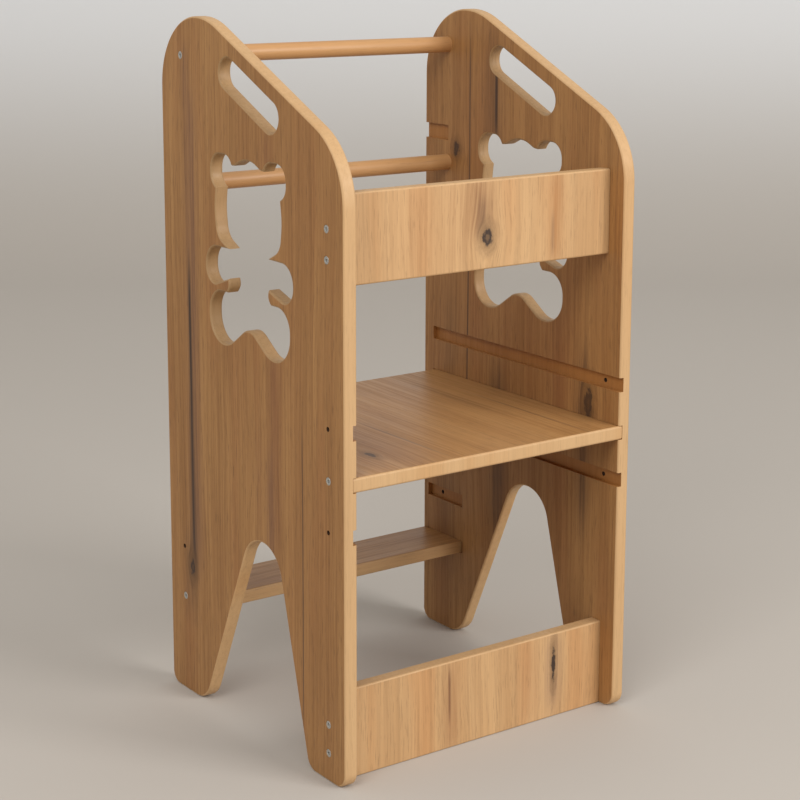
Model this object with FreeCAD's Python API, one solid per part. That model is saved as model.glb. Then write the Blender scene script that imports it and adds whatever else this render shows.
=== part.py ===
import FreeCAD, Part
import math
import os

# Toddler kitchen helper stool: two mirrored side panels joined by a standing platform, a footrest
# step, two front boards and two round rails, held with socket-head panel screws.
# Millimetres, +Z up, X is the width, the front faces -Y. The origin is on the floor under the middle.

Vec = FreeCAD.Vector

# Overall size
stool_width = 440.0
panel_depth = 420.0
panel_height = 900.0
panel_thickness = 18.0

# Side panel outline: angle of the sloped edge, the short level run behind it, and corner radii
slope_angle = 25.0
top_run = 1.2
shoulder_radius = 100.0
crown_radius = 115.0
rear_top_radius = 90.0
front_foot_radius = 20.0
rear_foot_radius = 16.0

# Leg arch between the two feet of a panel. Its straight sides would meet at the peak
front_foot_width = 80.5
rear_foot_width = 90.0
arch_peak_height = 346.8
arch_peak_inset = 173.4
arch_radius = 45.0
front_heel_radius = 18.0
rear_heel_radius = 40.0

# Slanted hand slot: its middle is measured from the crown, along the slope and square to it
slot_run = 125.8
slot_drop = 39.5
slot_length = 146.0
slot_height = 38.0

# Teddy bear cut-out, measured over the arms and from the feet to the ears, below the panel's top
bear_middle_drop = 282.5
bear_width = 201.6
bear_height = 243.4

# Eased and rounded edges
panel_easing = 2.0
board_roundover = 2.0
platform_roundover = 3.0
step_roundover = 2.5
rail_easing = 1.0

# Grooves in the inner faces
groove_depth = 6.0
groove_clearance = 0.4
groove_end_gap = 0.3
groove_run_out = 3.0
platform_lowest_level = 302.5
platform_level_spacing = 62.5
platform_level_count = 3
platform_level_used = 1
step_lowest_level = 123.0
step_level_spacing = 69.0
step_level_count = 2
step_level_used = 0
hook_groove_rise = 31.0
hook_groove_height = 21.0
hook_groove_length = 54.0

# Platform and step
platform_rear_inset = 25.0
platform_thickness = 18.0
step_depth = 87.0
step_thickness = 18.0
step_rear_inset = 3.0
step_tail_length = 9.0
step_notch_gap = 0.5

# Front boards
board_thickness = 18.0
board_setback = 27.0
upper_board_height = 108.5
upper_board_drop = 188.5
lower_board_height = 114.0
lower_board_bottom = 0.0

# Round rails
rail_diameter = 22.0
rail_inset = 50.5
top_rail_drop = 50.0
rail_spacing = 164.0
rail_socket_depth = 8.0
rail_socket_clearance = 0.1
rail_end_gap = 0.3

# Panel screws. Their round parts and holes have flat sides, which keeps small pieces light
screw_sides = 12
screw_head_diameter = 10.0
screw_head_height = 3.0
screw_shank_diameter = 5.0
screw_length = 50.0
screw_clearance = 0.1
screw_socket_across = 4.0
screw_socket_depth = 2.0
free_hole_diameter = 6.0

# Screw places, measured from the piece that each screw holds
upper_board_screw_rise = 32.0
lower_board_screw_rise = 36.0
board_screw_spacing = 36.0
platform_screw_inset = 34.0
step_screw_inset = 39.0

# Worked out from the sizes above
inner_x = stool_width / 2.0 - panel_thickness
outer_x = stool_width / 2.0
front_y = -panel_depth / 2.0
rear_y = panel_depth / 2.0
inner_width = 2.0 * inner_x
groove_floor_x = inner_x + groove_depth
crown_y = rear_y - rear_top_radius - top_run - crown_radius * math.tan(math.radians(slope_angle / 2.0))
bear_middle_z = panel_height - bear_middle_drop
platform_levels = [
    platform_lowest_level + number * platform_level_spacing for number in range(platform_level_count)
]
platform_z = platform_levels[platform_level_used]
platform_rear = rear_y - platform_rear_inset
step_levels = [step_lowest_level + number * step_level_spacing for number in range(step_level_count)]
step_z = step_levels[step_level_used]
step_rear = rear_y - step_rear_inset
step_front = step_rear - step_depth
step_tail_y = step_rear - step_tail_length
board_y = front_y + board_setback
upper_board_bottom = panel_height - upper_board_drop - upper_board_height
rail_y = rear_y - rail_inset
top_rail_z = panel_height - top_rail_drop
lower_rail_z = top_rail_z - rail_spacing
rail_seat_x = inner_x + rail_socket_depth

# How close two coordinates have to be to count as the same
SAME = 1e-5


def point(y, z, x=0.0):
    """A point in a plane that stands across the width."""
    return Vec(x, y, z)


def rounded_outline(corners, x):
    """Closed wire through corners given as (y, z, radius). A radius of 0 leaves the corner sharp."""
    count = len(corners)
    starts = []
    ends = []
    edges = []
    for index, (y, z, radius) in enumerate(corners):
        here = point(y, z, x)
        if radius == 0.0:
            starts.append(here)
            ends.append(here)
            continue
        before = point(corners[index - 1][0], corners[index - 1][1], x)
        after = point(corners[(index + 1) % count][0], corners[(index + 1) % count][1], x)
        back = (before - here).normalize()
        on = (after - here).normalize()
        half_angle = back.getAngle(on) / 2.0
        reach = radius / math.tan(half_angle)
        bisector = (back + on).normalize()
        middle = here + bisector * (radius / math.sin(half_angle) - radius)
        starts.append(here + back * reach)
        ends.append(here + on * reach)
        edges.append(Part.Arc(starts[-1], middle, ends[-1]).toShape())
    for index in range(count):
        edges.append(Part.LineSegment(ends[index], starts[(index + 1) % count]).toShape())
    return Part.Wire(Part.sortEdges(edges)[0])


def plate(wire, thickness):
    """A flat plate of the given thickness on an outline, grown towards +X."""
    return Part.Face(wire).extrude(Vec(thickness, 0, 0))


def panel_outline(x):
    """Outside of a side panel with its arch: a vertical back, a sloped top and two tapered legs."""
    shoulder_z = panel_height - (crown_y - front_y) * math.tan(math.radians(slope_angle))
    corners = [
        (front_y, 0.0, front_foot_radius),
        (front_y, shoulder_z, shoulder_radius),
        (crown_y, panel_height, crown_radius),
        (rear_y, panel_height, rear_top_radius),
        (rear_y, 0.0, rear_foot_radius),
        (rear_y - rear_foot_width, 0.0, rear_heel_radius),
        (front_y + arch_peak_inset, arch_peak_height, arch_radius),
        (front_y + front_foot_width, 0.0, front_heel_radius),
    ]
    return rounded_outline(corners, x)


# Corners of the bear's outline on one side, from the top of the head round to the crotch, as
# (y, z, radius) about the middle of its height and width. Tips of wood that point inwards are sharp.
BEAR_HALF = [
    (0.0, 119.8, 47.8),
    (29.5, 106.5, 15.0),
    (37.5, 106.5, 0.0),
    (45.0, 121.7, 22.5),
    (86.5, 121.7, 24.0),
    (86.5, 83.5, 21.0),
    (73.5, 75.5, 0.0),
    (77.3, 48.0, 80.0),
    (72.5, 13.5, 24.0),
    (44.5, 0.0, 0.0),
    (100.8, -1.0, 25.0),
    (100.8, -47.5, 20.0),
    (78.0, -47.5, 16.0),
    (46.5, -37.2, 0.0),
    (43.5, -47.0, 12.0),
    (51.0, -55.6, 0.0),
    (93.0, -55.6, 28.0),
    (93.0, -121.7, 33.0),
    (47.5, -121.7, 40.0),
    (0.0, -89.9, 26.5),
]


def bear_outline(x):
    """Closed wire of the bear: the corners of one side, scaled to its size, and their mirror."""
    scale_y = bear_width / (2.0 * max(y for y, z, radius in BEAR_HALF))
    scale_z = bear_height / (2.0 * max(z for y, z, radius in BEAR_HALF))
    scale_radius = min(scale_y, scale_z)
    one_side = []
    for y, z, radius in BEAR_HALF:
        one_side.append((y * scale_y, bear_middle_z + z * scale_z, radius * scale_radius))
    other_side = [(-y, z, radius) for y, z, radius in reversed(one_side[1:-1])]
    return rounded_outline(one_side + other_side, x)


def hand_slot(x):
    """Closed wire of the hand slot: straight sides along the slope and round ends."""
    angle = math.radians(slope_angle)
    along = point(math.cos(angle), math.sin(angle))
    across = point(-math.sin(angle), math.cos(angle))
    middle = point(crown_y, panel_height, x) - along * slot_run - across * slot_drop
    half = slot_length / 2.0 - slot_height / 2.0
    radius = slot_height / 2.0
    edges = []
    for sign in (1, -1):
        end = middle + along * (half * sign)
        first = end - across * (radius * sign)
        last = end + across * (radius * sign)
        tip = end + along * (radius * sign)
        edges.append(Part.Arc(first, tip, last).toShape())
        next_start = middle - along * (half * sign) + across * (radius * sign)
        edges.append(Part.LineSegment(last, next_start).toShape())
    return Part.Wire(edges)


def face_edges(solid, x_values):
    """The edges of a solid that lie in one of the given upright planes."""
    found = []
    for edge in solid.Edges:
        box = edge.BoundBox
        for x in x_values:
            if abs(box.XMin - x) < SAME and abs(box.XMax - x) < SAME:
                found.append(edge)
    return found


def groove(bottom, height, start_y, end_y):
    """A square groove in the inner face of the right panel, as the block that it takes away."""
    return Part.makeBox(groove_depth, end_y - start_y, height, Vec(inner_x, start_y, bottom))


def cross_cylinder(diameter, y, z, start_x, end_x):
    """A cylinder along X: a bar, or the block that its socket takes away."""
    return Part.makeCylinder(diameter / 2.0, end_x - start_x, Vec(start_x, y, z), Vec(1, 0, 0))


def cross_prism(diameter, sides, y, z, start_x, end_x):
    """A bar along X with flat sides, measured over its corners."""
    corners = []
    for index in range(sides + 1):
        angle = 2.0 * math.pi * (index % sides) / sides
        across = point(math.cos(angle), math.sin(angle)) * (diameter / 2.0)
        corners.append(point(y, z, start_x) + across)
    return Part.Face(Part.makePolygon(corners)).extrude(Vec(end_x - start_x, 0, 0))


def screw_body(y, z, clearance=0.0):
    """Head and shank of a screw of the right side. A clearance makes it the hole that it needs."""
    head = screw_head_diameter + 2.0 * clearance
    shank = screw_shank_diameter + 2.0 * clearance
    seat_x = outer_x - screw_head_height - clearance
    tip_x = outer_x - screw_length - clearance
    head_bar = cross_prism(head, screw_sides, y, z, seat_x, outer_x)
    return head_bar.fuse(cross_prism(shank, screw_sides, y, z, tip_x, seat_x))


def panel_screw(y, z):
    """A screw of the right side, its head flush outside, with a hexagon socket."""
    over_corners = screw_socket_across / math.cos(math.pi / 6.0)
    socket = cross_prism(over_corners, 6, y, z, outer_x - screw_socket_depth, outer_x)
    return screw_body(y, z).cut(socket)


def screw_places():
    """Where the screws of one side go, by name."""
    board_mid_y = board_y + board_thickness / 2.0
    upper_z = upper_board_bottom + upper_board_screw_rise
    lower_z = lower_board_bottom + lower_board_screw_rise
    return {
        "top_rail_screw": (rail_y, top_rail_z),
        "upper_board_high_screw": (board_mid_y, upper_z + board_screw_spacing),
        "upper_board_low_screw": (board_mid_y, upper_z),
        "lower_board_high_screw": (board_mid_y, lower_z + board_screw_spacing),
        "lower_board_low_screw": (board_mid_y, lower_z),
        "platform_screw": (front_y + platform_screw_inset, platform_z + platform_thickness / 2.0),
        "step_screw": (rear_y - step_screw_inset, step_z + step_thickness / 2.0),
    }


def side_panel():
    """The right side panel: outline, cut-outs, eased edges, grooves, rail sockets and holes."""
    board = plate(panel_outline(inner_x), panel_thickness)
    board = board.cut(plate(hand_slot(inner_x), panel_thickness))
    board = board.cut(plate(bear_outline(inner_x), panel_thickness))
    board = board.makeChamfer(panel_easing, face_edges(board, (inner_x, outer_x)))
    cuts = []
    for level in platform_levels:
        height = platform_thickness + groove_clearance
        cuts.append(groove(level, height, front_y, platform_rear + groove_run_out))
        if level != platform_z:
            hole_z = level + platform_thickness / 2.0
            hole_y = front_y + platform_screw_inset
            cuts.append(cross_prism(free_hole_diameter, screw_sides, hole_y, hole_z, inner_x, outer_x))
    for level in step_levels:
        height = step_thickness + groove_clearance
        cuts.append(groove(level, height, step_front - groove_run_out, step_tail_y + step_notch_gap))
        if level != step_z:
            hole_z = level + step_thickness / 2.0
            hole_y = rear_y - step_screw_inset
            cuts.append(cross_prism(free_hole_diameter, screw_sides, hole_y, hole_z, inner_x, outer_x))
    hook_bottom = lower_rail_z + hook_groove_rise
    cuts.append(groove(hook_bottom, hook_groove_height, rear_y - hook_groove_length, rear_y))
    socket = rail_diameter + 2.0 * rail_socket_clearance
    for height in (top_rail_z, lower_rail_z):
        cuts.append(cross_cylinder(socket, rail_y, height, inner_x, rail_seat_x))
    for y, z in screw_places().values():
        cuts.append(screw_body(y, z, screw_clearance))
    return board.cut(cuts)


def round_long_edges(solid, radius, places):
    """Round the edges that run along X at the given (y, z) places."""
    found = []
    for edge in solid.Edges:
        box = edge.BoundBox
        for y, z in places:
            off_y = max(abs(box.YMin - y), abs(box.YMax - y))
            off_z = max(abs(box.ZMin - z), abs(box.ZMax - z))
            if max(off_y, off_z) < SAME:
                found.append(edge)
    return solid.makeFillet(radius, found)


def cut_screw_holes(solid, names):
    """Take the named screws' holes out of both ends of a cross piece."""
    holes = []
    for name in names:
        y, z = screw_places()[name]
        right = screw_body(y, z, screw_clearance)
        holes.append(right)
        holes.append(right.mirror(Vec(0, 0, 0), Vec(1, 0, 0)))
    return solid.cut(holes)


def platform():
    """The standing platform: its ends lie in the panels' grooves, its front is flush with them."""
    half = groove_floor_x - groove_end_gap
    top = platform_z + platform_thickness
    depth = platform_rear - front_y
    board = Part.makeBox(2.0 * half, depth, platform_thickness, Vec(-half, front_y, platform_z))
    places = [(front_y, platform_z), (front_y, top), (platform_rear, platform_z), (platform_rear, top)]
    board = round_long_edges(board, platform_roundover, places)
    return cut_screw_holes(board, ["platform_screw"])


def footrest_step():
    """The rear step: tongues in the stopped grooves, and a full width tail behind their ends."""
    half = groove_floor_x - groove_end_gap
    top = step_z + step_thickness
    board = Part.makeBox(2.0 * half, step_depth, step_thickness, Vec(-half, step_front, step_z))
    for corner_x in (inner_x, -half):
        corner = Vec(corner_x, step_tail_y, step_z)
        board = board.cut(Part.makeBox(half - inner_x, step_tail_length, step_thickness, corner))
    places = [(step_front, step_z), (step_front, top), (step_rear, step_z), (step_rear, top)]
    board = round_long_edges(board, step_roundover, places)
    return cut_screw_holes(board, ["step_screw"])


def front_board(bottom, height, screw_names):
    """A front board, butted between the side panels."""
    board = Part.makeBox(inner_width, board_thickness, height, Vec(-inner_x, board_y, bottom))
    back = board_y + board_thickness
    top = bottom + height
    places = [(board_y, bottom), (board_y, top), (back, bottom), (back, top)]
    board = round_long_edges(board, board_roundover, places)
    return cut_screw_holes(board, screw_names)


def rail(height, screw_names):
    """A round rail with eased ends, seated in blind sockets in both panels."""
    half = rail_seat_x - rail_end_gap
    bar = cross_cylinder(rail_diameter, rail_y, height, -half, half)
    bar = bar.makeChamfer(rail_easing, face_edges(bar, (-half, half)))
    if screw_names:
        bar = cut_screw_holes(bar, screw_names)
    return bar


def build():
    """Every piece by node name."""
    right_panel = side_panel()
    parts = {
        "left_side_panel": right_panel.mirror(Vec(0, 0, 0), Vec(1, 0, 0)),
        "right_side_panel": right_panel,
        "platform": platform(),
        "footrest_step": footrest_step(),
        "upper_front_board": front_board(
            upper_board_bottom, upper_board_height, ["upper_board_high_screw", "upper_board_low_screw"]
        ),
        "lower_front_board": front_board(
            lower_board_bottom, lower_board_height, ["lower_board_high_screw", "lower_board_low_screw"]
        ),
        "top_rail": rail(top_rail_z, ["top_rail_screw"]),
        "lower_rail": rail(lower_rail_z, []),
    }
    for name, (y, z) in screw_places().items():
        right = panel_screw(y, z)
        parts["right_" + name] = right
        parts["left_" + name] = right.mirror(Vec(0, 0, 0), Vec(1, 0, 0))
    return parts


os.makedirs("parts", exist_ok=True)
for node, shape in build().items():
    shape.exportStep("parts/" + node + ".step")
    print(node, "solids", len(shape.Solids), "valid", shape.isValid(), "mm3", round(shape.Volume))
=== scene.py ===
import math

import bmesh
import bpy
from bpy.props import FloatProperty, FloatVectorProperty, IntProperty, PointerProperty
from mathutils import Matrix, Vector


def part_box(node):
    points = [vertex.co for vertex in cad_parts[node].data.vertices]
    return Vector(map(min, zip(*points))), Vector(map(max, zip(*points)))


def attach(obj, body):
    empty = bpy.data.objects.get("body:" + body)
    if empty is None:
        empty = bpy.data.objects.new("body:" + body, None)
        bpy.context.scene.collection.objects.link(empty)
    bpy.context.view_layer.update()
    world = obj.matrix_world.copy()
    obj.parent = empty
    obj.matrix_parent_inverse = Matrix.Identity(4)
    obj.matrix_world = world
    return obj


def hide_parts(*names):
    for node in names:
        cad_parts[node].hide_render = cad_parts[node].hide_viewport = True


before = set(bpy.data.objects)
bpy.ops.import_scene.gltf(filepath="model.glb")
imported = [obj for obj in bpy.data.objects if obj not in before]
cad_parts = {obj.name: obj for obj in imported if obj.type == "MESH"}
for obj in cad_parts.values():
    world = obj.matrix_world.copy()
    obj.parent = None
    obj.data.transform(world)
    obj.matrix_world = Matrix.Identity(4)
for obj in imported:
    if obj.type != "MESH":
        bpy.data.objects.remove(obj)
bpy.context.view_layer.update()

bl_info = {
    "name": "Toddler kitchen helper stool",
    "version": (1, 0, 0),
    "blender": (4, 5, 0),
    "location": "3D View > Sidebar > Stool",
    "description": "Dresses the packed stool in oiled wood and steel screws and lights it",
    "category": "Object",
}

MM = 0.001
ROOT = "root"

# The solids' own places, in metres
PANEL_LOW, PANEL_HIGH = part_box("right_side_panel")
PLATFORM_LOW, PLATFORM_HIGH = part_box("platform")
STEP_LOW, STEP_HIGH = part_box("footrest_step")
UPPER_LOW, UPPER_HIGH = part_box("upper_front_board")
LOWER_LOW, LOWER_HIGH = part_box("lower_front_board")
TOP_RAIL_LOW, TOP_RAIL_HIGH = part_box("top_rail")
LOWER_RAIL_LOW, LOWER_RAIL_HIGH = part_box("lower_rail")
INNER_X = PANEL_LOW.x
OUTER_X = PANEL_HIGH.x
FRONT_Y = PANEL_LOW.y
REAR_Y = PANEL_HIGH.y
SCREW_NODES = sorted(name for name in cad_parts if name.endswith("_screw"))

# Side panel outline
SLOPE_ANGLE = math.radians(25.0)
TOP_RUN = 1.2 * MM
SHOULDER_RADIUS = 100.0 * MM
CROWN_RADIUS = 115.0 * MM
REAR_TOP_RADIUS = 90.0 * MM
FRONT_FOOT_RADIUS = 20.0 * MM
REAR_FOOT_RADIUS = 16.0 * MM
FRONT_FOOT_WIDTH = 80.5 * MM
REAR_FOOT_WIDTH = 90.0 * MM
ARCH_PEAK_HEIGHT = 346.8 * MM
ARCH_PEAK_INSET = 173.4 * MM
ARCH_RADIUS = 45.0 * MM
FRONT_HEEL_RADIUS = 18.0 * MM
REAR_HEEL_RADIUS = 40.0 * MM
CROWN_Y = REAR_Y - REAR_TOP_RADIUS - TOP_RUN - CROWN_RADIUS * math.tan(SLOPE_ANGLE / 2.0)

# Hand slot: its middle is measured from the crown, along the slope and square to it
SLOT_RUN = 125.8 * MM
SLOT_DROP = 39.5 * MM
SLOT_LENGTH = 146.0 * MM
SLOT_HEIGHT = 38.0 * MM

# Bear cut-out: the height of its waist, and one side of it from the top of its head to its
# crotch, as (y, z, radius) in millimetres from the waist. Inward tips of wood are sharp
BEAR_WAIST_Z = 617.5 * MM
BEAR_SIDE = [
    (0.0, 119.0, 47.8),
    (29.5, 105.0, 15.0),
    (37.5, 104.5, 0.0),
    (44.5, 116.5, 19.0),
    (86.5, 116.5, 20.5),
    (86.5, 82.0, 18.5),
    (73.5, 74.0, 0.0),
    (77.3, 48.0, 80.0),
    (72.5, 13.5, 24.0),
    (44.5, 0.0, 0.0),
    (100.8, -1.0, 25.0),
    (100.8, -47.5, 20.0),
    (78.0, -47.5, 16.0),
    (46.5, -37.2, 0.0),
    (43.5, -47.0, 12.0),
    (51.0, -55.6, 0.0),
    (93.0, -55.6, 28.0),
    (93.0, -121.7, 33.0),
    (47.5, -121.7, 40.0),
    (0.0, -89.9, 26.5),
]

# Grooves in the inner faces: where each lies, in height and from front to back
GROOVE_DEPTH = 6.0 * MM
GROOVE_HEIGHT = 18.4 * MM
PLATFORM_GROOVES = [302.5 * MM, 365.0 * MM, 427.5 * MM]
PLATFORM_GROOVE_END = 188.0 * MM
STEP_GROOVES = [123.0 * MM, 192.0 * MM]
STEP_GROOVE_START = 117.0 * MM
STEP_GROOVE_END = 198.5 * MM
HOOK_GROOVE_BOTTOM = 717.0 * MM
HOOK_GROOVE_HEIGHT = 21.0 * MM
HOOK_GROOVE_START = 156.0 * MM

# Footrest step: where its tail starts, and the radii of its outer and inner corners
STEP_TAIL_START = 198.0 * MM
STEP_CORNER = 2.0 * MM
STEP_INNER_CORNER = 0.4 * MM

# Holes in the panels, the free ones as (y, z), and the room round what they hold
FREE_HOLE_DIAMETER = 6.0 * MM
FREE_HOLES = [(-176.0 * MM, 311.5 * MM), (-176.0 * MM, 436.5 * MM), (171.0 * MM, 201.0 * MM)]
RAIL_SOCKET_DEPTH = 8.0 * MM
RAIL_SOCKET_ROOM = 0.1 * MM
SCREW_SEAT_DEPTH = 3.1 * MM
SCREW_SEAT_ROOM = 0.15 * MM

# Flat sides of the round cutters and of the rails
SOCKET_SIDES = 64
SEAT_SIDES = 40
HOLE_SIDES = 32
RAIL_SIDES = 72

# Faces across the eased ends of the boards and across the rims of the rails
EASE_STEPS = 2
RIM_STEPS = 3

# How far a cutter stands out of the wood, through a groove's face and past an outer face or edge
OPEN_REACH = 4.0 * MM
BEYOND = 5.0 * MM

# Panel screw: places along its length from the top of its head, and radii. The crest of each turn
# of the thread starts and ends so far past its core
SCREW_SIDES = 36
THREAD_START = 12.0 * MM
THREAD_END = 48.0 * MM
TIP_START = 48.6 * MM
TIP_END = 49.9 * MM
THREAD_PITCH = 2.6 * MM
THREAD_CORE = 2.1 * MM
THREAD_CREST = 2.5 * MM
CREST_START = 0.35 * THREAD_PITCH
CREST_END = 0.5 * THREAD_PITCH
TIP_RADIUS = 0.6 * MM
SOCKET_TURN = math.radians(60.0)
SOCKET_SEED = 5

# Lengths that count as nothing in a mesh, and between two points of an outline
SAME = 1e-6
MERGE_GAP = 0.02 * MM

# Share of half its height that each corner of a slot's end takes, so that two don't quite meet
ROUND_END = 0.9999

# Paint: how square a face lies, how near to its plane, and how far ahead of it a cut-out is open
FLAT_LIMIT = 0.92
FACE_REACH = 0.6 * MM
PAINT_REACH = 5.0 * MM

# Slack round a hole and a groove, past a groove's floor, and how far a hole's wall may lean
PAINT_SLACK = 0.2 * MM
GROOVE_SLACK = 1.0 * MM
WALL_LIMIT = 0.5

# Order of a panel's materials, the last three of them darker with painted shade, and of a place's
# parts
FACE, EDGE, GROOVE, CUTOUT_SHADE, HOLE_SHADE = range(5)
X, Y, Z = range(3)

# Layers of the grain: waves per metre across, through and along it, detail, roughness, seed offset
WANDER = ((6.0, 6.0, 2.2), 2.0, 0.50, 0.0)
BROAD = ((15.0, 6.0, 1.7), 2.0, 0.55, 3.1)
BAND = ((75.0, 40.0, 2.6), 2.0, 0.60, 5.7)
WARM = ((22.0, 8.0, 2.6), 1.0, 0.50, 7.9)

# Fine lines and pores: the same, with waves per line spacing across and through the grain
FINE = ((1.0, 0.7, 5.0), 3.0, 0.60, 8.3)
PORE = ((2.2, 2.0, 40.0), 2.0, 0.60, 11.9)

# Tones of the grain: the span of noise that each crosses and its share, then the tone laid on, as
# a share of the wood's dark or light one
BROAD_SPAN = (0.30, 0.70)
BROAD_SHARE = 0.60
BAND_SPAN = (0.28, 0.72)
BAND_SHARE = 0.40
BLUSH = (0.48, 0.74, 0.55)
DARK_LINES = (0.42, 0.74, 0.42)
DARK_LINE_TONE = 0.60
LIGHT_LINES = (0.30, 0.47, 0.20)
LIGHT_LINE_TONE = 1.15
PORES = (0.54, 0.70, 0.50)
PORE_TONE = 0.45

# Knots: how far round one the lines part, in its half sizes, and the waves per metre, detail and
# roughness of its rim, how ragged that is, and its rings
KNOT_REACH = Vector((1.7, 1.5))
RAGGED = ((150.0, 60.0, 90.0), 3.0, 0.70)
KNOT_RAGGEDNESS = 2.2
KNOT_RINGS = 11.0
RING_SPAN = (-0.2, 1.0)

# Parts of a knot: the distance, in its half sizes, over which each fades and its share, then its
# tone, as a share of the wood's dark one. The rim takes the finish's knot colour
SMOKE = (0.9, 3.2, 0.60)
SMOKE_TONE = 0.45
RINGS = (1.0, 3.0, 0.22)
RING_TONE = 0.4
RIM = (0.7, 1.2, 0.97)
HEART = (0.10, 0.50, 0.45)
HEART_TONE = 0.55

# How far the grain wanders, how much of that a streak follows, and how long a streak fades: a
# length, or a share of a short streak
WANDER_REACH = 0.030
STREAK_DRIFT = 0.35
STREAK_FADE = 0.045
STREAK_FADE_SHARE = 0.3

# A streak keeps only the least share over the light lines of the grain. Marks narrower than
# THIN_MARK are cracks, which stay unbroken
PATCHY_SPAN = (0.30, 0.68)
PATCHY_LEAST = 0.45
THIN_MARK = 4.0 * MM

# Relief of the grain, its lines and its pores, and the roughness added on its light and dark lines
GRAIN_HEIGHT = 0.5 * MM
LINE_HEIGHT = 0.7
PORE_HEIGHT = -0.6
BUMP_STRENGTH = 0.22
SHEEN_SPAN = (0.3, 0.7)
LIGHT_LINE_ROUGHNESS = -0.06
DARK_LINE_ROUGHNESS = 0.10
WOOD_SPECULAR = 0.42

# Steel: its specks per metre and their detail, the span over which they brighten it, the tone that
# is left between them, and the span and the values of its roughness
STEEL_SPECKS = 900.0
STEEL_DETAIL = 3.0
STEEL_WORN_SPAN = (0.35, 0.65)
STEEL_DULL_TONE = 0.78
STEEL_ROUGHNESS = (0.3, 0.7, 0.34, 0.5)
STEEL_METALLIC = 0.9

# The studio's paint: the height at which it has turned from the floor's tone to the wall's
PAINT_RISE = 0.9
PAINT_ROUGHNESS = 0.85
PAINT_SPECULAR = 0.2

# Studio: the backdrop's places along its turned depth, the lamps and the camera's frame
BACKDROP_TURN = math.radians(-35.0)
BACKDROP_HALF_WIDTH = 9.0
BACKDROP_NEAR = -7.0
BACKDROP_BEND = 3.0
BEND_RADIUS = 1.5
BEND_STEPS = 12
BACKDROP_TOP = 6.0
KEY_PLACE = Vector((1.7, -4.4, 2.7))
KEY_SIZE = 2.4
SIDE_PLACE = Vector((-2.3, -1.5, 2.5))
SIDE_SIZE = 1.8
LAMP_AIM = Vector((0.0, 0.0, 0.45))
WORLD_COLOUR = (1.0, 0.985, 0.96, 1.0)
FRAME_WIDTH = 36.0
FAR_CLIP = 50.0


# ---------------- user settings


def length_property(name, description, value, low, high):
    """A length with its label, given in millimetres."""
    return FloatProperty(
        name=name, description=description, default=value * MM, min=low * MM, max=high * MM,
        subtype="DISTANCE", unit="LENGTH",
    )


def colour_property(name, description, value):
    """A linear colour with its label."""
    return FloatVectorProperty(
        name=name, description=description, default=value, size=3, min=0.0, max=1.0, subtype="COLOR",
    )


def tone_property(surface, tone, value):
    """One tone of the wood on a kind of surface."""
    return colour_property(f"{surface}, {tone}", f"The {tone} tone of the {surface.lower()}", value)


class StoolSizes(bpy.types.PropertyGroup):
    """Sizes of the finished edges and of the screws."""

    panel_round: length_property(
        "Panel roundover", "Radius on the edges of the side panels", 3.0, 0.5, 6.0)
    board_round: length_property(
        "Board roundover", "Radius on the long edges of the front boards", 2.5, 0.5, 6.0)
    platform_round: length_property(
        "Platform roundover", "Radius on the front and back of the platform", 3.0, 0.5, 6.0)
    step_round: length_property(
        "Step roundover", "Radius on the edges of the footrest step", 2.5, 0.5, 6.0)
    end_ease: length_property(
        "End easing", "Small radius on the sawn ends of the boards and rails", 0.8, 0.2, 3.0)
    screw_head: length_property("Screw head", "Diameter of a screw's head", 9.8, 6.0, 10.0)
    screw_socket: length_property(
        "Hexagon socket", "Width across flats of the socket in a screw's head", 4.0, 2.0, 6.0)
    round_steps: IntProperty(
        name="Steps in a roundover", description="Faces across each rounded edge",
        default=5, min=2, max=12,
    )


class StoolFinish(bpy.types.PropertyGroup):
    """Colours of the woods, the steel and the studio floor. The groove, cut-out and hole tones carry
    painted shade.
    """

    face_light: tone_property("Panel faces", "light", (0.430, 0.221, 0.075))
    face_dark: tone_property("Panel faces", "dark", (0.295, 0.133, 0.040))
    face_blush: tone_property("Panel faces", "reddish", (0.325, 0.137, 0.043))
    tread_light: tone_property("Platform and step", "light", (0.500, 0.268, 0.100))
    tread_dark: tone_property("Platform and step", "dark", (0.350, 0.163, 0.052))
    edge_light: tone_property("Routed edges", "light", (0.61, 0.39, 0.195))
    edge_dark: tone_property("Routed edges", "dark", (0.49, 0.285, 0.125))
    edge_blush: tone_property("Routed edges", "reddish", (0.52, 0.28, 0.11))
    board_light: tone_property("Front boards", "light", (0.62, 0.385, 0.185))
    board_dark: tone_property("Front boards", "dark", (0.46, 0.255, 0.108))
    board_blush: tone_property("Front boards", "reddish", (0.50, 0.235, 0.085))
    # Cut-out walls: the routed edge wood, darkened with painted shade of the bear and hand slot
    cut_out_light: tone_property("Cut-out walls", "light", (0.42, 0.262, 0.122))
    cut_out_dark: tone_property("Cut-out walls", "dark", (0.34, 0.195, 0.083))
    # Groove floors and ledges: routed wood, darkened with painted shade of the groove
    groove_light: tone_property("Groove floors", "light", (0.400, 0.175, 0.045))
    groove_dark: tone_property("Groove floors", "dark", (0.330, 0.135, 0.033))
    rail_light: tone_property("Turned rails", "light", (0.585, 0.325, 0.137))
    rail_dark: tone_property("Turned rails", "dark", (0.475, 0.245, 0.096))
    rail_blush: tone_property("Turned rails", "reddish", (0.50, 0.235, 0.083))
    # Free holes: near-black painted shade inside the holes
    bore_dark: tone_property("Free holes", "dark", (0.060, 0.028, 0.014))
    knot: colour_property("Knot", "Heart of the knots and cracks", (0.035, 0.018, 0.012))
    steel: colour_property("Screw steel", "Zinc plated steel of the screws", (0.62, 0.61, 0.58))
    floor: colour_property("Floor", "Plain studio floor", (0.50, 0.457, 0.408))
    wall: colour_property("Wall", "Plain studio wall", (0.80, 0.80, 0.80))
    line_spacing: length_property(
        "Grain spacing", "Distance between the fine lines of the grain", 3.6, 0.5, 10.0)


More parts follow.
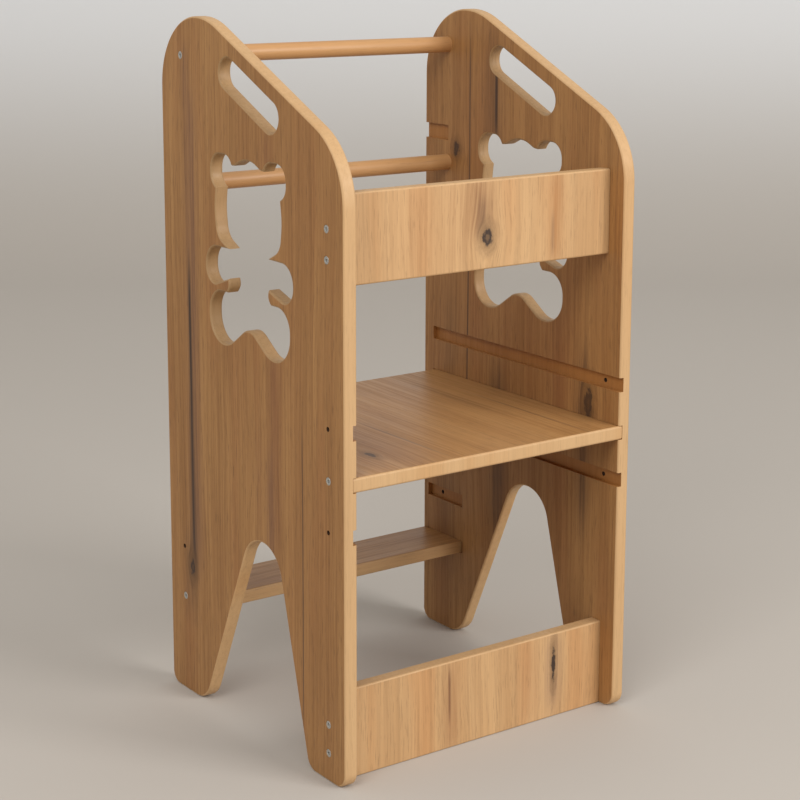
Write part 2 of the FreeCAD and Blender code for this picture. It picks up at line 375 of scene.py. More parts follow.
class StoolView(bpy.types.PropertyGroup):
    """The camera and the lamps."""

    place: FloatVectorProperty(
        name="Camera place", description="Where the camera stands", size=3,
        default=(-1.38235, -1.94518, 1.00313), subtype="TRANSLATION", unit="LENGTH",
    )
    turn: FloatProperty(
        name="Turn", description="Turn of the camera from facing the front squarely",
        default=math.radians(-35.554), subtype="ANGLE", unit="ROTATION",
    )
    tilt: FloatProperty(
        name="Tilt", description="How far the camera looks down",
        default=math.radians(10.458), subtype="ANGLE", unit="ROTATION",
    )
    roll: FloatProperty(
        name="Roll", description="Roll of the camera about its own axis",
        default=math.radians(0.135), subtype="ANGLE", unit="ROTATION",
    )
    lens: FloatProperty(
        name="Lens", description="Focal length in millimetres on a 36 mm wide frame",
        default=84.82, min=10.0, max=300.0,
    )
    shift: FloatProperty(
        name="Shift", description="Upright shift of the lens as a share of the frame",
        default=-0.15, min=-1.0, max=1.0,
    )
    key_power: FloatProperty(
        name="Key lamp", description="Power of the large lamp at the front right, in watts",
        default=162.0, min=0.0, unit="POWER",
    )
    fill_power: FloatProperty(
        name="Side lamp", description="Power of the soft lamp at the upper left, in watts",
        default=42.0, min=0.0, unit="POWER",
    )
    world_strength: FloatProperty(
        name="Room light", description="Even light from all round",
        default=0.64, min=0.0, max=3.0,
    )


def settings(context):
    """The scene's sizes and finish."""
    return context.scene.stool_sizes, context.scene.stool_finish


# ---------------- outlines


def rounded_loop(corners, arc_step=6.0):
    """Points of a closed outline through (u, v, radius) corners. A radius of 0 stays sharp.

    arc_step is the most degrees of an arc between two points.
    """
    points = []
    count = len(corners)
    for index, (u, v, radius) in enumerate(corners):
        here = Vector((u, v))
        if radius == 0.0:
            points.append(here)
            continue
        back = (Vector(corners[index - 1][:2]) - here).normalized()
        on = (Vector(corners[(index + 1) % count][:2]) - here).normalized()
        half = back.angle(on) / 2.0
        centre = here + (back + on).normalized() * (radius / math.sin(half))
        start = here + back * (radius / math.tan(half)) - centre
        end = here + on * (radius / math.tan(half)) - centre
        first = math.atan2(start.y, start.x)
        sweep = math.atan2(end.y, end.x) - first
        sweep = (sweep + math.pi) % (2.0 * math.pi) - math.pi
        steps = max(2, math.ceil(abs(sweep) / math.radians(arc_step)))
        for step in range(steps + 1):
            angle = first + sweep * step / steps
            points.append(centre + Vector((math.cos(angle), math.sin(angle))) * radius)
    kept = []
    for point in points:
        if not kept or (point - kept[-1]).length > MERGE_GAP:
            kept.append(point)
    if (kept[0] - kept[-1]).length <= MERGE_GAP:
        kept.pop()
    return kept


def wound(points, anticlockwise):
    """The same points, wound the way that is asked."""
    area = sum(a.x * b.y - b.x * a.y for a, b in zip(points, points[1:] + points[:1]))
    return points if (area > 0.0) == anticlockwise else points[::-1]


def panel_outline():
    """Outline of a side panel in (y, z)."""
    shoulder_z = PANEL_HIGH.z - (CROWN_Y - FRONT_Y) * math.tan(SLOPE_ANGLE)
    return rounded_loop([
        (FRONT_Y, 0.0, FRONT_FOOT_RADIUS),
        (FRONT_Y, shoulder_z, SHOULDER_RADIUS),
        (CROWN_Y, PANEL_HIGH.z, CROWN_RADIUS),
        (REAR_Y, PANEL_HIGH.z, REAR_TOP_RADIUS),
        (REAR_Y, 0.0, REAR_FOOT_RADIUS),
        (REAR_Y - REAR_FOOT_WIDTH, 0.0, REAR_HEEL_RADIUS),
        (FRONT_Y + ARCH_PEAK_INSET, ARCH_PEAK_HEIGHT, ARCH_RADIUS),
        (FRONT_Y + FRONT_FOOT_WIDTH, 0.0, FRONT_HEEL_RADIUS),
    ], arc_step=4.0)


def bear_outline():
    """Outline of the bear cut-out in (y, z)."""
    one = [(y * MM, BEAR_WAIST_Z + z * MM, radius * MM) for y, z, radius in BEAR_SIDE]
    other = [(-y, z, radius) for y, z, radius in reversed(one[1:-1])]
    return rounded_loop(one + other)


def holds_point(outline, u, v):
    """Whether a closed outline goes round a point."""
    inside = False
    for first, second in zip(outline, outline[1:] + outline[:1]):
        if (first.y > v) != (second.y > v):
            share = (v - first.y) / (second.y - first.y)
            if u < first.x + share * (second.x - first.x):
                inside = not inside
    return inside


def groove_spans():
    """Every groove of a panel as (start, end, bottom, top)."""
    places = [(FRONT_Y - BEYOND, PLATFORM_GROOVE_END, low) for low in PLATFORM_GROOVES]
    places += [(STEP_GROOVE_START, STEP_GROOVE_END, low) for low in STEP_GROOVES]
    spans = [(start, end, low, low + GROOVE_HEIGHT) for start, end, low in places]
    spans.append((HOOK_GROOVE_START, REAR_Y + BEYOND, HOOK_GROOVE_BOTTOM,
                  HOOK_GROOVE_BOTTOM + HOOK_GROOVE_HEIGHT))
    return spans


def slot_outline():
    """Outline of the slanted hand slot in (y, z)."""
    along = Vector((math.cos(SLOPE_ANGLE), math.sin(SLOPE_ANGLE)))
    across = Vector((-along.y, along.x))
    middle = Vector((CROWN_Y, PANEL_HIGH.z)) - along * SLOT_RUN - across * SLOT_DROP
    half = SLOT_LENGTH / 2.0
    rise = SLOT_HEIGHT / 2.0
    corners = []
    for side_along, side_across in ((-1, -1), (1, -1), (1, 1), (-1, 1)):
        corner = middle + along * (half * side_along) + across * (rise * side_across)
        corners.append((corner.x, corner.y, rise * ROUND_END))
    return rounded_loop(corners)


# ---------------- mesh making


def add_object(name, mesh):
    """A new object for a mesh, in the scene."""
    made = bpy.data.objects.new(name, mesh)
    bpy.context.scene.collection.objects.link(made)
    return made


def mesh_from(name, bm):
    """The mesh of a finished bmesh, its faces turned outwards."""
    bmesh.ops.recalc_face_normals(bm, faces=bm.faces)
    mesh = bpy.data.meshes.new(name)
    bm.to_mesh(mesh)
    bm.free()
    return mesh


def mitres(points):
    """For each point of an outline with the wood on its left, the way and length of a unit inset."""
    ways = []
    count = len(points)
    for index in range(count):
        before = (points[index] - points[index - 1]).normalized()
        after = (points[(index + 1) % count] - points[index]).normalized()
        first = Vector((-before.y, before.x))
        second = Vector((-after.y, after.x))
        ways.append((first + second) / (1.0 + first.dot(second)))
    return ways


def rounded_plate(name, loops, place, low, high, radius, steps):
    """A flat plate with holes: loops[0] is its outline, the rest its cut-outs. Edges are rounded.

    place turns (u, v, depth) into a point of the object.
    """
    levels = []
    for step in range(steps + 1):
        angle = math.pi / 2.0 * step / steps
        inset = radius * (1.0 - math.cos(angle))
        drop = radius * (1.0 - math.sin(angle))
        levels.insert(0, (inset, low + drop))
        levels.append((inset, high - drop))
    bm = bmesh.new()
    low_edges = []
    high_edges = []
    for number, loop in enumerate(loops):
        points = wound(loop, number == 0)
        ways = mitres(points)
        rings = []
        for inset, depth in levels:
            ring = []
            for point, way in zip(points, ways):
                moved = point + way * inset
                ring.append(bm.verts.new(place(moved.x, moved.y, depth)))
            rings.append(ring)
        count = len(points)
        for ring, following in zip(rings, rings[1:]):
            for index in range(count):
                after = (index + 1) % count
                bm.faces.new((ring[index], ring[after], following[after], following[index]))
        for index in range(count):
            after = (index + 1) % count
            low_edges.append(bm.edges.get((rings[0][index], rings[0][after])))
            high_edges.append(bm.edges.get((rings[-1][index], rings[-1][after])))
    bmesh.ops.triangle_fill(bm, use_beauty=True, use_dissolve=False, edges=low_edges)
    bmesh.ops.triangle_fill(bm, use_beauty=True, use_dissolve=False, edges=high_edges)
    return mesh_from(name, bm)


def add_block(bm, low, high):
    """A closed box in a bmesh."""
    made = bmesh.ops.create_cube(bm, size=1.0)["verts"]
    bmesh.ops.scale(bm, vec=high - low, verts=made)
    bmesh.ops.translate(bm, vec=(low + high) / 2.0, verts=made)


def add_bar(bm, radius, start_x, end_x, y, z, sides):
    """A closed cylinder along X in a bmesh."""
    turned = Matrix.Rotation(math.pi / 2.0, 4, "Y")
    middle = Matrix.Translation(Vector(((start_x + end_x) / 2.0, y, z)))
    bmesh.ops.create_cone(
        bm, cap_ends=True, cap_tris=False, segments=sides, radius1=radius, radius2=radius,
        depth=end_x - start_x, matrix=middle @ turned,
    )


def round_edges(bm, edges, radius, steps):
    """Round the given edges of a bmesh."""
    bmesh.ops.bevel(
        bm, geom=edges, offset=radius, offset_type="OFFSET", segments=steps, profile=0.5,
        affect="EDGES", clamp_overlap=True,
    )


def cut_away(piece, cutter_mesh):
    """Take a cutter out of a piece and leave it a plain mesh."""
    cutter = add_object("cutter", cutter_mesh)
    trim = piece.modifiers.new("cut", "BOOLEAN")
    trim.operation = "DIFFERENCE"
    trim.solver = "EXACT"
    trim.object = cutter
    settle(piece)
    bpy.data.objects.remove(cutter)


def settle(piece):
    """Apply what the modifiers of a piece make."""
    bpy.context.view_layer.update()
    graph = bpy.context.evaluated_depsgraph_get()
    made = bpy.data.meshes.new_from_object(piece.evaluated_get(graph), depsgraph=graph)
    piece.modifiers.clear()
    piece.data = made


def smooth_piece(piece, crease=35.0):
    """Smooth shading with crisp corners, and flat faces kept flat."""
    mesh = piece.data
    mesh.shade_smooth()
    mesh.set_sharp_from_angle(angle=math.radians(crease))
    even = piece.modifiers.new("even", "WEIGHTED_NORMAL")
    even.keep_sharp = True
    even.weight = 100
    settle(piece)


def eased_board(name, low, high, long_round, sizes):
    """A board along X: its four long edges are rounded, and its ends are eased a little."""
    bm = bmesh.new()
    add_block(bm, low, high)
    long_edges = [e for e in bm.edges if abs(e.verts[0].co.x - e.verts[1].co.x) > SAME]
    round_edges(bm, long_edges, long_round, sizes.round_steps)
    ends = [e for e in bm.edges for x in (low.x, high.x)
            if all(abs(vert.co.x - x) < SAME for vert in e.verts)]
    round_edges(bm, ends, sizes.end_ease, EASE_STEPS)
    return add_object(name, mesh_from(name, bm))


def paint_faces(piece, axis, planes, face_material, edge_material):
    """The flat faces in two planes across an axis take one material, all cut wood the second."""
    mesh = piece.data
    mesh.materials.clear()
    mesh.materials.append(face_material)
    mesh.materials.append(edge_material)
    for polygon in mesh.polygons:
        off = min(abs(abs(polygon.center[axis]) - abs(plane)) for plane in planes)
        flat = abs(polygon.normal[axis]) > FLAT_LIMIT
        polygon.material_index = FACE if flat and off < FACE_REACH else EDGE


def finish_piece(piece, slot, *nodes):
    """The piece takes the place of its solids and rides on the stool."""
    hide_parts(*nodes)
    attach(piece, ROOT)


def finish_board(board, axis, low, high, face, edge, slot, node):
    """A board gets smooth corners and its woods, and takes the place of its solid."""
    smooth_piece(board)
    paint_faces(board, axis, (low[axis], high[axis]), face, edge)
    finish_piece(board, slot, node)


# ---------------- materials


class Tree:
    """A node tree, with short ways to add to it."""

    def __init__(self, tree):
        self.tree = tree

    def put(self, socket, value):
        """A link or a constant into a socket."""
        if isinstance(value, bpy.types.NodeSocket):
            self.tree.links.new(value, socket)
        elif hasattr(value, "__len__") and len(value) == 3 and socket.type == "RGBA":
            socket.default_value = (*value, 1.0)
        else:
            socket.default_value = value

    def fill(self, node, inputs):
        """Links or constants into a node's sockets, each by its name or number."""
        for key, value in inputs.items():
            self.put(node.inputs[key], value)

    def node(self, kind, inputs, **settings):
        """A new node with its settings and inputs."""
        made = self.tree.nodes.new(kind)
        for key, value in settings.items():
            setattr(made, key, value)
        self.fill(made, inputs)
        return made


class Shades(Tree):
    """A material's node tree, with the steps that its colours and relief need."""

    def __init__(self, name):
        self.material = bpy.data.materials.new(name)
        self.material.use_nodes = True
        super().__init__(self.material.node_tree)
        self.shader = self.tree.nodes["Principled BSDF"]

    def places(self):
        """Where a point lies on the object."""
        return self.node("ShaderNodeTexCoord", {}).outputs["Object"]

    def split(self, vector):
        """The X, Y and Z of a vector."""
        return list(self.node("ShaderNodeSeparateXYZ", {0: vector}).outputs)

    def sum(self, operation, first, second=0.0, third=0.0):
        """One step of arithmetic."""
        inputs = {0: first, 1: second, 2: third}
        return self.node("ShaderNodeMath", inputs, operation=operation).outputs[0]

    def times(self, first, second):
        """One value times another."""
        return self.sum("MULTIPLY", first, second)

    def less(self, first, second):
        """One value less another."""
        return self.sum("SUBTRACT", first, second)

    def ramp(self, value, low, high, start=0.0, end=1.0):
        """A smooth step from start to end while value goes from low to high."""
        inputs = {"Value": value, "From Min": low, "From Max": high, "To Min": start, "To Max": end}
        made = self.node("ShaderNodeMapRange", inputs, interpolation_type="SMOOTHSTEP")
        return made.outputs["Result"]

    def rise(self, value, span, strength=1.0):
        """A share that grows from nothing while a value crosses its span."""
        low, high, share = span
        return self.ramp(value, low, high, 0.0, share * strength)

    def fade(self, value, span, strength=1.0):
        """A share that falls to nothing while a value crosses its span."""
        low, high, share = span
        return self.ramp(value, low, high, share * strength, 0.0)

    def noise(self, directions, waves, detail, roughness, seed):
        """Soft noise over three directions, each with its own waves per metre."""
        stretched = [self.times(direction, count) for direction, count in zip(directions, waves)]
        place = self.node("ShaderNodeCombineXYZ", dict(enumerate(stretched))).outputs[0]
        inputs = {"Vector": place, "W": seed, "Scale": 1.0, "Detail": detail, "Roughness": roughness}
        return self.node("ShaderNodeTexNoise", inputs, noise_dimensions="4D").outputs["Fac"]

    def blend(self, amount, first, second):
        """Two colours mixed."""
        inputs = {0: amount, 6: first, 7: second}
        return self.node("ShaderNodeMix", inputs, data_type="RGBA").outputs[2]

    def square_distance(self, across, along, middle, size):
        """Square of the distance from a middle, in units of a size across and along the grain."""
        over = self.times(self.less(across, middle.x), 1.0 / size.x)
        up = self.times(self.less(along, middle.y), 1.0 / size.y)
        return self.sum("ADD", self.times(over, over), self.times(up, up))


def tones(finish, kind):
    """The light, dark and reddish tones of a kind of surface. Dark stands in for one not set."""
    dark = getattr(finish, kind + "_dark")
    return [tuple(getattr(finish, kind + tone, dark)) for tone in ("_light", "_dark", "_blush")]


def toned(colour, share):
    """A colour with each channel times a share."""
    return tuple(min(1.0, channel * share) for channel in colour)


class Wood(Shades):
    """Oiled wood in a kind of surface's tones, whose grain runs along an axis of the object.

    axes names the directions across, through and along the grain.
    """

    def __init__(self, finish, name, axes, kind, seed):
        super().__init__(name)
        self.light, self.dark, self.blush = tones(finish, kind)
        self.seed = seed
        parts = self.split(self.places())
        self.across, self.depth, self.along = [parts["XYZ".index(letter)] for letter in axes]

    def layer(self, over, settings, spacing=1.0):
        """One layer of the grain's noise."""
        waves, detail, rough, offset = settings
        waves = (waves[0] / spacing, waves[1] / spacing, waves[2])
        return self.noise((over, self.depth, self.along), waves, detail, rough, self.seed + offset)

    def lines(self, knots):
        """Places across the grain, which wanders a little and parts round the knots."""
        wander = self.layer(self.across, WANDER)
        line = self.sum("MULTIPLY_ADD", self.less(wander, 0.5), WANDER_REACH, self.across)
        for middle, half, strength in knots:
            near = self.square_distance(self.across, self.along, middle, half * KNOT_REACH)
            pull = self.sum("MINIMUM", self.sum("DIVIDE", strength, near), 1.0)
            line = self.less(line, self.times(self.less(self.across, middle.x), pull))
        return line

    def grain(self, line, fine, pore, contrast):
        """Broad tones, a reddish blush, fine lines and pores."""
        broad = self.ramp(self.layer(line, BROAD), *BROAD_SPAN)
        band = self.ramp(self.layer(line, BAND), *BAND_SPAN)
        tone = self.sum("ADD", self.times(broad, BROAD_SHARE), self.times(band, BAND_SHARE))
        tone = self.sum("MULTIPLY_ADD", self.less(tone, 0.5), contrast, 0.5)
        colour = self.blend(tone, self.light, self.dark)
        for amount, tint in (
            (self.rise(self.layer(line, WARM), BLUSH), self.blush),
            (self.rise(fine, DARK_LINES, contrast), toned(self.dark, DARK_LINE_TONE)),
            (self.fade(fine, LIGHT_LINES, contrast), toned(self.light, LIGHT_LINE_TONE)),
            (self.rise(pore, PORES, contrast), toned(self.dark, PORE_TONE)),
        ):
            colour = self.blend(amount, colour, tint)
        return colour

    def streak(self, colour, drift, fine, places, strength, tint):
        """A streak of darker wood or a thin crack over a colour."""
        middle, half_width, start, end = [place * MM for place in places]
        off = self.times(self.less(drift, middle), 1.0 / half_width)
        shape = self.sum("EXPONENT", self.times(self.times(off, off), -1.0))
        fade = min(STREAK_FADE, (end - start) * STREAK_FADE_SHARE)
        rise = self.ramp(self.along, start - fade, start + fade)
        fall = self.ramp(self.along, end - fade, end + fade, 1.0, 0.0)
        shape = self.times(shape, self.times(rise, fall))
        least = PATCHY_LEAST if half_width > THIN_MARK else 1.0
        patchy = self.ramp(fine, *PATCHY_SPAN, least, 1.0)
        return self.blend(self.times(self.times(shape, patchy), strength), colour, tint)

    def knot(self, colour, middle, half, strength, rim_colour):
        """A knot over a colour: a smoky surround with rings, a ragged dark rim and a brown heart."""
        ragged = self.noise((self.across, self.depth, self.along), *RAGGED, self.seed + middle.y)
        far = self.sum("SQRT", self.square_distance(self.across, self.along, middle, half))
        far = self.sum("MULTIPLY_ADD", self.less(ragged, 0.5), KNOT_RAGGEDNESS, far)
        rings = self.ramp(self.sum("SINE", self.times(far, KNOT_RINGS)), *RING_SPAN)
        rings = self.times(rings, self.fade(far, RINGS, strength))
        colour = self.blend(self.fade(far, SMOKE, strength), colour, toned(self.dark, SMOKE_TONE))
        colour = self.blend(rings, colour, toned(self.dark, RING_TONE))
        colour = self.blend(self.fade(far, RIM, strength), colour, rim_colour)
        if half.x > THIN_MARK:
            heart = self.fade(far, HEART, strength)
            colour = self.blend(heart, colour, toned(self.dark, HEART_TONE))
        return colour

    def relief(self, fine, pore, contrast):
        """A bump in which the pores lie a little lower than the fine lines."""
        height = self.sum("ADD", self.times(fine, LINE_HEIGHT), self.times(pore, PORE_HEIGHT))
        bump = self.node("ShaderNodeBump", {
            "Strength": BUMP_STRENGTH * contrast, "Distance": GRAIN_HEIGHT, "Height": height,
        })
        return bump.outputs[0]


def wood(finish, name, axes, kind, seed=0.0, contrast=1.0, roughness=0.52, knots=(), streaks=()):
    """The material of one surface, with its knots and streaks.

    In millimetres, a knot is ((across, along), (half width, half length), strength), and a streak
    (across, half width, start, end, strength, tint).
    """
    shades = Wood(finish, name, axes, kind, seed)
    knots = [(Vector(middle) * MM, Vector(half) * MM, strength) for middle, half, strength in knots]
    line = shades.lines(knots)
    fine = shades.layer(line, FINE, finish.line_spacing)
    pore = shades.layer(line, PORE, finish.line_spacing)
    colour = shades.grain(line, fine, pore, contrast)
    shift = shades.less(line, shades.across)
    drift = shades.sum("MULTIPLY_ADD", shift, STREAK_DRIFT, shades.across)
    for *places, strength, tint in streaks:
        colour = shades.streak(colour, drift, fine, places, strength, tint)
    for middle, half, strength in knots:
        colour = shades.knot(colour, middle, half, strength, tuple(finish.knot))
    shades.fill(shades.shader, {
        "Base Color": colour,
        "Roughness": shades.ramp(
            fine, *SHEEN_SPAN, roughness + LIGHT_LINE_ROUGHNESS, roughness + DARK_LINE_ROUGHNESS),
        "Specular IOR Level": WOOD_SPECULAR,
        "Normal": shades.relief(fine, pore, contrast),
    })
    return shades.material


def screw_steel(colour):
    """Zinc plated steel, a little dull."""
    shades = Shades("screw_steel")
    inputs = {"Vector": shades.places(), "Scale": STEEL_SPECKS, "Detail": STEEL_DETAIL}
    speck = shades.node("ShaderNodeTexNoise", inputs).outputs["Fac"]
    worn = shades.ramp(speck, *STEEL_WORN_SPAN)
    shades.fill(shades.shader, {
        "Base Color": shades.blend(worn, toned(colour, STEEL_DULL_TONE), colour),
        "Roughness": shades.ramp(speck, *STEEL_ROUGHNESS),
        "Metallic": STEEL_METALLIC,
    })
    return shades.material


def plain_studio(name, floor, wall):
    """Plain matt paint that goes from the floor's tone to the wall's where the backdrop rises."""
    shades = Shades(name)
    height = shades.split(shades.places())[Z]
    shades.fill(shades.shader, {
        "Base Color": shades.blend(shades.ramp(height, 0.0, PAINT_RISE), floor, wall),
        "Roughness": PAINT_ROUGHNESS,
        "Specular IOR Level": PAINT_SPECULAR,
    })
    return shades.material


# ---------------- operators


class STOOL_OT_side_panels(bpy.types.Operator):
    """Side panels with rounded edges, bear cut-outs, hand slots, arches, grooves and holes"""

    bl_idname = "stool.side_panels"
    bl_label = "Make side panels"

    def execute(self, context):
        sizes, finish = settings(context)
        marks = self.marks(tuple(finish.knot))
        for side, sign in (("right", 1.0), ("left", -1.0)):
            label = side + "_side_panel_wood"
            mesh = rounded_plate(
                label, [panel_outline(), slot_outline(), bear_outline()],
                lambda y, z, x: Vector((sign * x, y, z)), INNER_X, OUTER_X,
                sizes.panel_round, sizes.round_steps,
            )
            panel = add_object(label, mesh)
            cut_away(panel, self.hollows(sign))
            cut_away(panel, self.free_holes(sign))
            smooth_piece(panel)
            seed = marks[side]["seed"]
            # The last three woods are darker copies with painted shade of the grooves, cut-outs and
            # free holes
            woods = [
                wood(finish, side + "_panel_face_wood", "YXZ", "face", **marks[side]),
                wood(finish, side + "_panel_edge_wood", "YXZ", "edge", seed, contrast=0.4),
                wood(finish, side + "_groove_wood", "YXZ", "groove", seed + 1.0, contrast=0.4),
                wood(finish, side + "_cut_out_wood", "YXZ", "cut_out", seed + 2.0, contrast=0.5),
                wood(finish, side + "_bore_wood", "YXZ", "bore", contrast=0.3),
            ]
            paint_faces(panel, X, (INNER_X, OUTER_X), woods[FACE], woods[EDGE])
            self.paint_recess_shade(panel, woods[GROOVE:])
            finish_piece(panel, "panel_wood", side + "_side_panel")
        return {"FINISHED"}

    def marks(self, heart):
        """The knots, streaks and cracks of each panel's faces."""
        reddish = (0.20, 0.075, 0.030)
        dark = (0.085, 0.042, 0.022)
        plum = (0.150, 0.066, 0.042)
        return {
            "left": {
                "seed": 2.0,
                "knots": [((150, 178), (6, 12), 1.0)],
                "streaks": [
                    (137, 16, 190, 800, 0.72, plum),
                    (145, 3.6, 185, 580, 1.0, heart),
                    (144, 8.5, 175, 420, 0.6, dark),
                    (154, 15, 110, 220, 0.55, dark),
                    (148, 10, 790, 860, 0.45, plum),
                    (-58, 14, 255, 520, 0.6, reddish),
                    (-46, 13, 680, 770, 0.5, reddish),
                    (-20, 10, 270, 400, 0.35, reddish),
                    (-46, 10, 200, 370, 0.55, plum),
                    (-120, 1.3, 50, 420, 0.85, dark),
                ],
            },
            "right": {
                "seed": 7.0,
                "knots": [((137, 706), (6, 8.5), 0.85), ((-150, 400), (8, 21), 0.8)],
                "streaks": [
                    (107, 1.4, 330, 860, 1.0, dark),
                    (50, 3.4, 735, 830, 1.0, heart),
                    (56, 22, 640, 870, 0.5, dark),
                    (38, 18, 160, 420, 0.8, dark),
                    (-140, 13, 230, 470, 0.75, dark),
                    (-90, 30, 380, 560, 0.35, reddish),
                    (150, 20, 90, 500, 0.3, dark),
                ],
            },
        }

    def paint_recess_shade(self, panel, recess_woods):
        """Grooves, the walls of the bear and the hand slot, and free holes take darker tones with
        painted shade.
        """
        mesh = panel.data
        for material in recess_woods:
            mesh.materials.append(material)
        cut_outs = (bear_outline(), slot_outline())
        grooves = groove_spans()
        hole_reach = FREE_HOLE_DIAMETER / 2.0 + PAINT_SLACK
        for polygon in mesh.polygons:
            x, y, z = polygon.center
            ahead = polygon.center + polygon.normal * PAINT_REACH
            # Walls of free holes take near-black painted shade
            if abs(polygon.normal.x) < WALL_LIMIT and any(
                    math.hypot(y - hole_y, z - hole_z) < hole_reach for hole_y, hole_z in FREE_HOLES):
                polygon.material_index = HOLE_SHADE
                continue
            if polygon.material_index != EDGE:
                continue
            # Groove floors and ledges take routed wood darkened with painted shade
            in_depth = INNER_X < abs(x) < INNER_X + GROOVE_DEPTH + GROOVE_SLACK
            if in_depth and FRONT_Y + PAINT_REACH < y < REAR_Y - PAINT_REACH and any(
                    start < y < end + PAINT_SLACK and bottom - PAINT_SLACK < z < top + PAINT_SLACK
                    for start, end, bottom, top in grooves):
                polygon.material_index = GROOVE
            # Walls of the bear and the hand slot take edge wood darkened with painted shade
            elif any(holds_point(loop, ahead.y, ahead.z) for loop in cut_outs):
                polygon.material_index = CUTOUT_SHADE

    def hollows(self, sign):
        """The grooves, rail sockets and screw head seats of one panel."""
        bm = bmesh.new()
        open_x = INNER_X - OPEN_REACH
        floor_x = INNER_X + GROOVE_DEPTH
        for start, end, bottom, top in groove_spans():
            add_block(bm, Vector((open_x, start, bottom)), Vector((floor_x, end, top)))
        for low, high in ((TOP_RAIL_LOW, TOP_RAIL_HIGH), (LOWER_RAIL_LOW, LOWER_RAIL_HIGH)):
            middle = (low + high) / 2.0
            add_bar(bm, (high.z - low.z) / 2.0 + RAIL_SOCKET_ROOM, open_x,
                    INNER_X + RAIL_SOCKET_DEPTH, middle.y, middle.z, SOCKET_SIDES)
        for node in SCREW_NODES:
            low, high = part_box(node)
            if low.x > 0.0:
                middle = (low + high) / 2.0
                add_bar(bm, (high.z - low.z) / 2.0 + SCREW_SEAT_ROOM, OUTER_X - SCREW_SEAT_DEPTH,
                        OUTER_X + BEYOND, middle.y, middle.z, SEAT_SIDES)
        return self.turned_mesh("hollows", bm, sign)

    def free_holes(self, sign):
        """The holes right through one panel that hold no screw at this height of the platform."""
        bm = bmesh.new()
        for y, z in FREE_HOLES:
            add_bar(bm, FREE_HOLE_DIAMETER / 2.0, INNER_X - BEYOND, OUTER_X + BEYOND, y, z, HOLE_SIDES)
        return self.turned_mesh("free_holes", bm, sign)

    def turned_mesh(self, name, bm, sign):
        """A cutter's mesh, mirrored for the left panel."""
        if sign < 0.0:
            bmesh.ops.scale(bm, vec=(-1.0, 1.0, 1.0), verts=bm.verts)
        return mesh_from(name, bm)


class STOOL_OT_platform(bpy.types.Operator):
    """Standing platform, its ends in the panels' grooves"""

    bl_idname = "stool.platform"
    bl_label = "Make platform"

    def execute(self, context):
        sizes, finish = settings(context)
        dark = (0.10, 0.052, 0.030)
        platform = eased_board(
            "platform_wood", PLATFORM_LOW, PLATFORM_HIGH, sizes.platform_round, sizes)
        face = wood(
            finish, "platform_face_wood", "XZY", "tread", seed=12.0, contrast=0.8, roughness=0.40,
            knots=[((-133, -137), (5, 11), 0.8)],
            streaks=[
                (153, 1.8, -210, 20, 0.5, dark),
                (120, 12, -60, 150, 0.2, dark),
                (-110, 45, -215, 190, 0.35, (0.2, 0.1, 0.062)),
                (-60, 1.8, -190, -20, 0.6, dark),
            ],
        )
        edge = wood(finish, "platform_edge_wood", "XYZ", "edge", seed=13.0, contrast=0.35)
        finish_board(platform, Z, PLATFORM_LOW, PLATFORM_HIGH, face, edge, "panel_wood", "platform")
        return {"FINISHED"}


class STOOL_OT_footrest_step(bpy.types.Operator):
    """Footrest step at the back, with the tail between the panels"""

    bl_idname = "stool.footrest_step"
    bl_label = "Make footrest step"

    def execute(self, context):
        sizes, finish = settings(context)
        outline = rounded_loop([
            (STEP_LOW.x, STEP_LOW.y, STEP_CORNER),
            (STEP_HIGH.x, STEP_LOW.y, STEP_CORNER),
            (STEP_HIGH.x, STEP_TAIL_START, STEP_CORNER),
            (INNER_X, STEP_TAIL_START, STEP_INNER_CORNER),
            (INNER_X, STEP_HIGH.y, STEP_CORNER),
            (-INNER_X, STEP_HIGH.y, STEP_CORNER),
            (-INNER_X, STEP_TAIL_START, STEP_INNER_CORNER),
            (STEP_LOW.x, STEP_TAIL_START, STEP_CORNER),
        ], arc_step=15.0)
        mesh = rounded_plate("footrest_step_wood", [outline], lambda x, y, z: Vector((x, y, z)),
                             STEP_LOW.z, STEP_HIGH.z, sizes.step_round, sizes.round_steps)
        step = add_object("footrest_step_wood", mesh)
        face = wood(
            finish, "step_face_wood", "YZX", "tread", seed=21.0, contrast=0.8, roughness=0.40)
        edge = wood(finish, "step_edge_wood", "YZX", "edge", seed=22.0, contrast=0.5)
        finish_board(step, Z, STEP_LOW, STEP_HIGH, face, edge, "panel_wood", "footrest_step")
        return {"FINISHED"}


